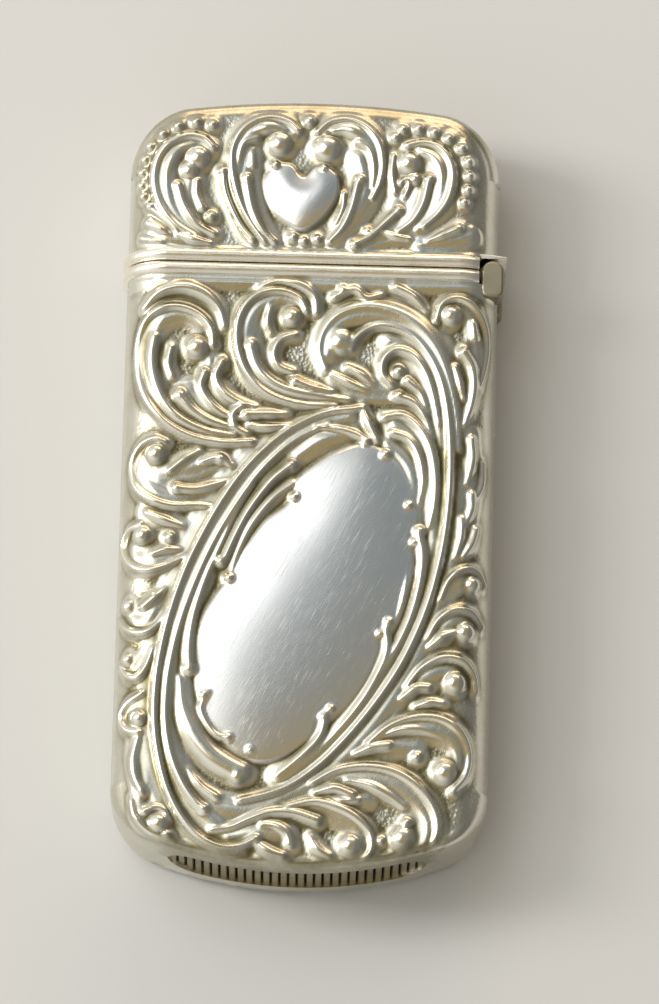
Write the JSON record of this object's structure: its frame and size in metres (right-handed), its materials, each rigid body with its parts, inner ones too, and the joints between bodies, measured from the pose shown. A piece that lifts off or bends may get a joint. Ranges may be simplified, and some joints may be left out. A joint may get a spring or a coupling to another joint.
{
  "type": "vesta case",
  "caption": "Slim pocket match safe in stamped silver with raised scrollwork, a side-hinged sprung lid, paired half-round rims and a serrated striker in its base.",
  "frame": {"origin": "middle of the back, on the surface that the case lies on", "axes": "+Z out of the front face, +Y towards the lid, +X towards the hinge"},
  "size_m": [0.0316, 0.0654, 0.0096],
  "materials": {
    "stamped_silver": "struck silver, polished on the high parts with dark patina in the hollows",
    "plain_silver": "polished silver with fine wear",
    "gilt_silver": "pale gilt wash",
    "spring_steel": "blued steel, dulled"
  },
  "bodies": {
    "case": {"body_front_shell": "stamped_silver", "body_back_shell": "stamped_silver", "body_rim": "plain_silver", "mouth_collar": "gilt_silver", "striker_plate": "plain_silver", "hinge_lug_front": "plain_silver", "hinge_lug_back": "plain_silver", "hinge_pin": "spring_steel", "lid_spring": "spring_steel", "spring_rivet": "spring_steel"},
    "lid": {"lid_front_shell": "stamped_silver", "lid_back_shell": "stamped_silver", "lid_rim": "plain_silver", "lid_knuckle": "plain_silver", "lid_tab": "plain_silver"}
  },
  "joints": [
    {"name": "lid_hinge", "type": "hinge", "parent": "case", "child": "lid", "pos_m": [0.01475, 0.0183, 0.0048], "axis": [0, 0, -1], "range_deg": [0, 90]}
  ]
}
